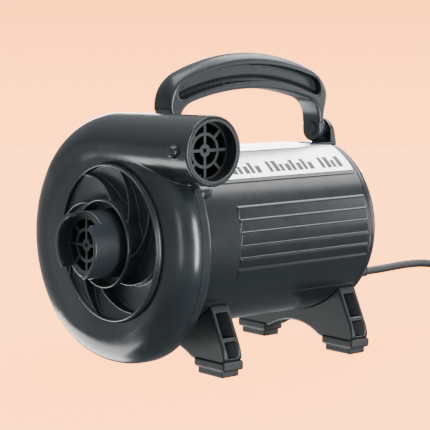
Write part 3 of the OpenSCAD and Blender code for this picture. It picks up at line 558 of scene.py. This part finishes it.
def nozzle_field(x, y, z):
    """Round nozzle with two bayonet gaps across its rim."""
    dx, dz = x - AXIS_X, z - AXIS_Z
    r = np.hypot(dx, dz)
    f = smax(smax(r - NOZZLE_R, NOZZLE_BORE - r, 0.6), FRONT - y, 0.9)
    f = smax(f, y - (FACE + 11), 0.5)
    phi = np.degrees(np.arctan2(dz, dx))
    near = np.abs((phi - 77 + 90) % 180 - 90)
    gap = np.maximum(np.radians(near - 33) * r, y - (FRONT + 8.5))
    return smax(f, -gap, 0.9)


nozzle = moulded("inlet_nozzle_moulding", nozzle_field, (-16, -116, 65), (32, -75, 113), quick_or(0.5))
finish_piece(nozzle, "body", "inlet_plastic", "inlet_nozzle")

# ---- Motor housing ----

# Angles above the horizontal where one rib ends and the next begins, and the ribs' ends along Y
GROOVES = [23.2, 15.0, 7.4, -0.8, -8.5, -15.7, -24.8]
RIBS_FRONT, RIBS_REAR, RIB_H = -25.2, 94.2, 0.9


def rib_height(a, y):
    """Height of the long ribs over the round housing, at angles above the horizontal on either side."""
    side = np.where(a > 90, 180 - a, a)
    h = np.zeros_like(a)
    for top, bottom in zip(GROOVES[:-1], GROOVES[1:]):
        # Each rib has a tight round lip along its upper edge and falls away gently below it
        s = np.radians(top - side) * HOUSING_R
        wide = math.radians(top - bottom) * HOUSING_R
        lip_w = 2.0
        up = np.sqrt(np.clip(1 - ((lip_w - s) / lip_w) ** 2, 0, 1))
        fall = 1 - 0.85 * np.clip((s - lip_w) / (wide - 2.6), 0, 1) ** 1.2
        foot = np.sqrt(np.clip((wide - s) / 0.7, 0, 1))
        shape = np.where(s < lip_w, up, fall * foot) * ((s > 0) & (s < wide))
        end = np.clip(np.minimum((y - RIBS_FRONT) / 0.6, (RIBS_REAR - y) / 1.3), 0, 1)
        h = np.maximum(h, RIB_H * shape * np.sqrt(np.clip(1 - (1 - end) ** 2, 0, 1)))
    # Low lip just under the label's edge
    lip = np.clip(1 - (np.radians(side - 39.2) * HOUSING_R / 0.9) ** 2, 0, 1)
    h = np.maximum(h, 0.4 * lip * (np.abs(y - 32) < 61))
    # Small long boss beside the volute's flange
    boss = np.hypot(np.radians(a - 36) * HOUSING_R, np.maximum(np.abs(y + 46.4) - 3.2, 0)) / 1.5
    return np.maximum(h, 1.1 * np.sqrt(np.clip(1 - boss ** 2, 0, 1)))


def housing_sheet(angles, ys, inset, ribs):
    """Points over the round housing with its flat top, at a depth below the outer face."""
    radius, flat = HOUSING_R - inset, FLAT - inset
    a, y = np.meshgrid(angles, ys)
    s = np.maximum(np.sin(np.radians(a)), 1e-3)
    r = smin(np.full_like(a, radius), np.where(a > 5, np.where(a < 175, flat / s, 1e3), 1e3), 1.0)
    if ribs:
        r = r + rib_height(a, y)
    c, s = np.cos(np.radians(a)), np.sin(np.radians(a))
    return np.stack([AXIS_X + r * c, y, AXIS_Z + r * s], -1)


seam = math.degrees(math.asin(39.4 / HOUSING_R))
SEAM_GAP = 0.12
LABEL_EDGE = 42
fine_a = np.arange(-seam + SEAM_GAP, LABEL_EDGE, 0.15)
top_a = np.concatenate([fine_a, np.arange(LABEL_EDGE, 180 - LABEL_EDGE, 0.6), 180 - fine_a[::-1]])
ys = np.concatenate([
    np.linspace(FLANGE, -25.6, 24, endpoint=False),
    np.linspace(-25.6, -23.6, 12, endpoint=False),
    np.linspace(-23.6, 92.6, 30, endpoint=False),
    np.linspace(92.6, 94.6, 12, endpoint=False),
    [CAP - 0.5, CAP - 0.1],
])
upper = grid_shell(
    "housing_upper_skin", housing_sheet(top_a, ys, 0, True), housing_sheet(top_a, ys, WALL, False)
)
finish_piece(upper, "body", "housing_plastic", "housing_upper_shell")
low_a = np.linspace(-180 + seam + SEAM_GAP, -seam - SEAM_GAP, 120)
ys = np.linspace(FLANGE, CAP - 0.1, 12)
lower = grid_shell(
    "housing_lower_skin", housing_sheet(low_a, ys, 0, False), housing_sheet(low_a, ys, WALL, False)
)
bevel(lower, 0.35, 50)
bevel(upper, 0.25, 60)
finish_piece(lower, "body", "housing_plastic", "housing_lower_shell")


def cap_field(x, y, z):
    """The rear cap: a chamfered cup with vent slots and holes for the switch, the lead and the screws."""
    dx, dz = x - AXIS_X, z - AXIS_Z
    r = np.hypot(dx, dz)
    f = smax(r - HOUSING_R, y - REAR, 1.5)
    f = smax(f, ((r - HOUSING_R) + (y - 101.2) * 1.05) * 0.69, 2.2)
    f = smax(f, dz - FLAT, 1.6)
    f = smax(f, CAP - y, 0.8)
    inner_r = HOUSING_R - WALL
    inner = smax(smax(r - inner_r, ((r - inner_r) + (y - 99.5) * 1.05) * 0.69, 2), dz - (FLAT - WALL), 1)
    f = smax(f, -np.maximum(inner, y - (REAR - WALL)), 0.6)
    for row in range(6):
        for side in (-1, 1):
            slot = box_field(
                x, y, z, (AXIS_X + side * 17, REAR - 1.5, AXIS_Z + 5.3 + row * 6), (13, 6, 1.3), 1.0
            )
            f = smax(f, -slot, 0.8)
    opening = box_field(x, y, z, (SWITCH_X, REAR, SWITCH_Z), (6.6, 8, 9.6), 0.3)
    f = smax(f, -opening, 0.4)
    f = smax(f, -(np.maximum(np.hypot(x - CORD_X, z - CORD_Z) - 6, REAR - 5 - y)), 0.4)
    for a in (45, 135, 218, 322):
        hx, hz = polar(AXIS_X, AXIS_Z, 51, a)
        f = smax(f, -np.maximum(np.hypot(x - hx, z - hz) - 1.7, REAR - 8 - y), 0.3)
    return f


rear_cap = moulded("rear_cap_moulding", cap_field, (-56, 94.5, 25), (72, 112, 148), quick_or(0.75))
finish_piece(rear_cap, "body", "cap_plastic", "rear_cap")


# ---- Label print: plain bars in rows, on the label's near side ----

def on_label(angle, y, out):
    """A point on the label's outer face, at an angle above the horizontal."""
    s = math.sin(math.radians(angle))
    r = min(HOUSING_R + 0.5 + out, (FLAT + 0.5 + out) / s)
    return (AXIS_X + r * math.cos(math.radians(angle)), y, AXIS_Z + r * s)


def print_bar(points, faces, y0, y1, a0, a1):
    """Adds a thin closed bar over the label, from y0 to y1 and from angle a0 to a1."""
    steps = max(2, int(abs(a1 - a0) / 1.5) + 1)
    sheet = []
    for out in (0.07, -0.1):
        sheet.append([[on_label(a, y, out) for a in np.linspace(a0, a1, steps)] for y in (y0, y1)])
    at = len(points) + np.arange(4 * steps).reshape(2, 2, steps)
    points.extend(np.array(sheet).reshape(-1, 3).tolist())
    last = steps - 1
    for k in range(last):
        faces.append([at[0, 0, k], at[0, 0, k + 1], at[0, 1, k + 1], at[0, 1, k]])
        faces.append([at[1, 0, k], at[1, 1, k], at[1, 1, k + 1], at[1, 0, k + 1]])
        faces.append([at[0, 0, k], at[1, 0, k], at[1, 0, k + 1], at[0, 0, k + 1]])
        faces.append([at[0, 1, k], at[0, 1, k + 1], at[1, 1, k + 1], at[1, 1, k]])
    faces.append([at[0, 0, 0], at[0, 1, 0], at[1, 1, 0], at[1, 0, 0]])
    faces.append([at[0, 0, last], at[1, 0, last], at[1, 1, last], at[0, 1, last]])


# Three groups of bars, the first of each group tall, then a fine line where the flat top begins
points, faces = [], []
BAR_PITCH, WORD_GAP = 5.4, 6.0
y = -16.0
for word in (5, 8, 4):
    for i in range(word):
        tall = i == 0 or (i * 7 + word) % 5 < 2
        width = 3.3 + 0.8 * ((i * 3 + word) % 2)
        print_bar(points, faces, y, y + width, 44.6, 54.0 if tall else 50.8)
        y += BAR_PITCH
    y += WORD_GAP
print_bar(points, faces, -28.0, 92.0, 65.3, 65.9)
label_print = outward(build("label_print", points, faces, smooth=False))
dress(label_print, "label_foil", "label_ink")
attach(label_print, "body")


# ---- Handle ----

CROWN_R, CROWN_Z = 159, 213 - 159
UNDER_R, UNDER_Z = 190, 187.9 - 190
POCKET_TOP_R, POCKET_TOP_Z = 185, 204.7 - 185
POCKET_LOW_R, POCKET_LOW_Z = 178, 193.0 - 178


def handle_field(x, y, z):
    """The arched handle with its two legs, crowned across, and the hollow under it for a hand."""
    dx, dy = np.abs(x - AXIS_X), y - HANDLE_Y
    ay = np.abs(dy)
    across = 12.5
    drop = across - np.sqrt(np.maximum(across ** 2 - dx ** 2, 1))
    crown = np.hypot(dy, z - CROWN_Z) - (CROWN_R - drop)
    widths = [LEG_OUT, LEG_OUT, HALF_LENGTH]
    rear = np.interp(z, [PIVOT_Z, 168, 183.7], widths)
    front = np.interp(z, [PIVOT_Z, 168, 175.5], widths)
    f = smax(crown, ay - np.where(dy > 0, rear, front), 13)
    f = smax(f, dx - np.interp(z, [160, 184], [9.4, 10]), 1.8)
    gap = smax(np.hypot(dy, z - UNDER_Z) - UNDER_R, ay - np.interp(z, [150, 185], [65.5, 65.0]), 12)
    f = smax(f, -gap, 2.2)
    foot = smin(np.hypot(dx, z - PIVOT_Z) - 9.5, np.maximum(dx - 10, 162 - z), 3)
    f = smax(f, foot, 1.2)
    # The side pockets, and the web between them, deeper along its lower part
    up = np.hypot(dy, z - POCKET_TOP_Z) - POCKET_TOP_R
    low = POCKET_LOW_R - np.hypot(dy, z - POCKET_LOW_Z)
    pocket = smax(smax(up, low, 3), ay - 66.6, 7)
    above = z - 3.6 - POCKET_LOW_Z - np.sqrt(np.maximum(POCKET_LOW_R ** 2 - dy ** 2, 1))
    web = 3.6 - 2.0 / (1 + np.exp(above * 2.2))
    f = smax(f, -np.maximum(pocket, web - dx), 1.2)
    hole = np.hypot(dx, z - PIVOT_Z) - 3.05
    return smax(f, -hole, 0.4)


handle = moulded(
    "carry_handle_moulding", handle_field, (-3.5, -44, 146), (19.5, 107.5, 215), quick_or(0.62)
)
finish_piece(handle, "handle", "handle_plastic", "carry_handle")


# ---- Feet ----

PAD_Z = 9
ARCH_R, ARCH_Z = 48, 17 - 48
POCKET_HALF = 5.4


def saddle_field(y0):
    """An arched saddle under the housing, starting at y0, with two pockets in each leg's outer face."""
    def field(x, y, z):
        dx = np.abs(x - AXIS_X)
        dy = np.abs(y - (y0 + SADDLE_HALF))
        slope = (dx - 60.4) * 0.905 + (z - 17) * 0.427
        shoulder = (dx - 46) * 0.6 + (z - 47.5) * 0.8
        f = smax(smax(slope, dx - 60.4, 2), shoulder, 2)
        f = smax(smax(f, z - 52, 1), PAD_Z - z, 1.5)
        f = smax(f, (dx - 57) * 0.66 + (PAD_Z - z) * 0.75, 1.5)
        f = smax(f, ARCH_R - np.hypot(dx, z - ARCH_Z), 1.5)
        f = smax(f, dy - SADDLE_HALF, 1.6)
        f = smax(f, HOUSING_R + 0.05 - np.hypot(dx, z - AXIS_Z), 0.6)
        reach = 8.5 * (1 - dy / POCKET_HALF)
        upper = np.maximum(np.maximum(26.5 - z, z - 42.0), -slope - reach)
        lower = np.maximum(np.maximum(13.2 - z, z - 23.6), -slope - 0.8 * reach)
        f = smax(f, -np.maximum(np.minimum(upper, lower), dy - POCKET_HALF), 1.0)
        # Screw holes, wider below for the heads
        screw = np.hypot(dx - 16, y - (y0 + SADDLE_HALF))
        return smax(f, -np.minimum(screw - 2.1, np.maximum(screw - 3.9, z - 20)), 0.4)
    return field


for name, y0 in (("foot_saddle_front", SADDLE_FRONT), ("foot_saddle_rear", SADDLE_REAR)):
    saddle = moulded(
        name + "_moulding", saddle_field(y0), (-54, y0 - 2, 7), (70, y0 + 18, 54), quick_or(0.7)
    )
    finish_piece(saddle, "body", "saddle_plastic", name)


def pad_field(side, y0):
    """A shallow cup round the end of a leg, on a smaller block."""
    leg = saddle_field(y0)

    def field(x, y, z):
        cup = box_field(x, y, z, (AXIS_X + side * 45.3, y0 + SADDLE_HALF, 7.9), (15.7, 8.9, 3.3), 1.7)
        block = box_field(x, y, z, (AXIS_X + side * 45, y0 + SADDLE_HALF, 2.9), (12.6, 7.5, 2.9), 1.1)
        return smax(smin(cup, block, 0.6), 0.06 - leg(x, y, z), 0.3)
    return field


for k, (y0, side) in enumerate([(y0, side) for y0 in (SADDLE_FRONT, SADDLE_REAR) for side in (-1, 1)]):
    cx = AXIS_X + side * 44.5
    low, high = (cx - 18.5, y0 - 3, -1.5), (cx + 18.5, y0 + 19, 13.5)
    pad = moulded("foot_pad_%d" % (k + 1), pad_field(side, y0), low, high, quick_or(0.55))
    finish_piece(pad, "body", "foot_rubber", *(["foot_pads"] if k == 0 else []))

# ---- Kept CAD pieces get softened edges ----
for n, width in (
    ("inlet_grille", 0.3), ("outlet_grille", 0.3), ("handle_lug_front", 0.9), ("handle_lug_rear", 0.9),
    ("switch_frame", 0.5), ("switch_rocker", 0.4), ("label_plate", 0.12), ("handle_pins", 0.5),
    ("volute_screws", 0.3), ("rear_cap_screws", 0.3), ("saddle_screws", 0.3), ("plug_pins", 0.5),
):
    bevel(nodes[n], width, 40)

# ---- Stage: floor that curves up into a wall, and soft light ----


def stage_mesh():
    """A round floor, in metres, that curves up into a wall all the way round."""
    drop = 0.0002
    profile = [(r, 0) for r in (0.3, 0.8, 1.6, 2.4)]
    profile += [(2.4 + 1.2 * math.sin(t), 1.2 - 1.2 * math.cos(t)) for t in np.linspace(0.1, math.pi / 2, 14)]
    profile += [(3.6, 3.5)]
    steps = 96
    verts, faces = [], []
    for i in range(steps):
        a = 2 * math.pi * i / steps
        verts += [(r * math.cos(a), r * math.sin(a), z - drop) for r, z in profile]
    n = len(profile)
    verts.append((0, 0, -drop))
    for i in range(steps):
        j = (i + 1) % steps
        faces.append((steps * n, i * n, j * n))
        for k in range(n - 1):
            faces.append((i * n + k, i * n + k + 1, j * n + k + 1, j * n + k))
    mesh = bpy.data.meshes.new("studio_floor")
    mesh.from_pydata(verts, [], faces)
    mesh.polygons.foreach_set("use_smooth", [True] * len(mesh.polygons))
    return link("studio_floor", mesh)


def backdrop_look():
    """Peach paper that glows with painted light: brighter near the floor, dimmer and deeper in tone up the
    wall.
    """
    m = material(
        "backdrop paper", (0.10, 0.075, 0.06), 0.95, grain=300, bump=0.02, tone=0.01, wave=3, specular=0.0
    )
    t = m.node_tree
    shader = next(n for n in t.nodes if n.type == "BSDF_PRINCIPLED")
    split = t.nodes.new("ShaderNodeSeparateXYZ")
    place = t.nodes.new("ShaderNodeTexCoord")
    t.links.new(place.outputs["Object"], split.inputs[0])
    fade = t.nodes.new("ShaderNodeMapRange")
    fade.inputs["From Min"].default_value, fade.inputs["From Max"].default_value = -0.1, 0.55
    t.links.new(split.outputs["Z"], fade.inputs["Value"])
    # Painted light: the emission is brightest on the floor and dims as the wall rises
    painted_glow = t.nodes.new("ShaderNodeMix")
    painted_glow.data_type = "RGBA"
    painted_glow.inputs["A"].default_value = (7.6, 2.5, 0.52, 1)
    painted_glow.inputs["B"].default_value = (4.6, 1.20, 0.20, 1)
    t.links.new(fade.outputs["Result"], painted_glow.inputs["Factor"])
    t.links.new(painted_glow.outputs["Result"], shader.inputs["Emission Color"])
    shader.inputs["Emission Strength"].default_value = 1.0
    return m


floor = stage_mesh()
floor.data.materials.append(backdrop_look())
floor.visible_glossy = False
floor.visible_diffuse = False
floor.visible_shadow = False


def lamp(name, place, aim, width, height, power, colour):
    """A rectangular soft light that faces a point."""
    data = bpy.data.lights.new(name, "AREA")
    data.shape = "RECTANGLE"
    data.size, data.size_y = width, height
    data.energy = power
    data.color = colour
    o = bpy.data.objects.new(name, data)
    scene.collection.objects.link(o)
    o.location = place
    o.rotation_mode = "QUATERNION"
    o.rotation_quaternion = (Vector(aim) - Vector(place)).to_track_quat("-Z", "Y")


lamp("overhead_softbox", (-0.1, -0.15, 1.6), (0, 0, 0.1), 1.0, 1.2, 20, (0.97, 0.99, 1))
lamp("rear_top_softbox", (-0.05, 1.15, 1.35), (0, 0, 0.15), 1.7, 0.8, 28, (1, 0.99, 0.985))
lamp("rear_left_low_light", (-1.5, 1.3, 0.45), (0, 0, 0.18), 1.2, 0.5, 24, (1, 0.99, 0.985))
lamp("right_wall_light", (0.93, 1.77, 0.25), (0, 0, 0.1), 1.1, 0.9, 13, (0.98, 0.99, 1))
lamp("right_strip", (1.6, 0.22, 0.10), (0, 0, 0.08), 0.30, 1.1, 32, (0.96, 0.985, 1))
lamp("front_right_strip", (1.25, -1.45, 0.20), (0, 0, 0.1), 0.40, 1.2, 5, (0.96, 0.985, 1))
lamp("low_left_bounce", (-1.1, -0.3, -0.8), (0, 0, 0.1), 1.3, 0.9, 26, (0.98, 0.99, 1))


def studio_world():
    """Dim surroundings, brightest just below eye level and overhead, for the soft reflections."""
    world = bpy.data.worlds.new("studio")
    world.use_nodes = True
    t = world.node_tree
    background = next(n for n in t.nodes if n.type == "BACKGROUND")
    direction = t.nodes.new("ShaderNodeTexCoord")
    split = t.nodes.new("ShaderNodeSeparateXYZ")
    t.links.new(direction.outputs["Generated"], split.inputs[0])
    height = t.nodes.new("ShaderNodeMapRange")
    height.inputs["From Min"].default_value, height.inputs["From Max"].default_value = -1, 1
    t.links.new(split.outputs["Z"], height.inputs["Value"])
    shade = t.nodes.new("ShaderNodeValToRGB")
    stops = [(0.0, 0.20), (0.22, 0.26), (0.36, 0.66), (0.46, 0.72), (0.55, 0.36), (1.0, 0.9)]
    while len(shade.color_ramp.elements) < len(stops):
        shade.color_ramp.elements.new(0.5)
    for e, (position, value) in zip(shade.color_ramp.elements, stops):
        e.position = position
        e.color = (value * 0.95, value * 0.985, value, 1)
    t.links.new(height.outputs["Result"], shade.inputs["Fac"])
    t.links.new(shade.outputs["Color"], background.inputs["Color"])
    background.inputs["Strength"].default_value = 1.0
    return world


scene.world = studio_world()
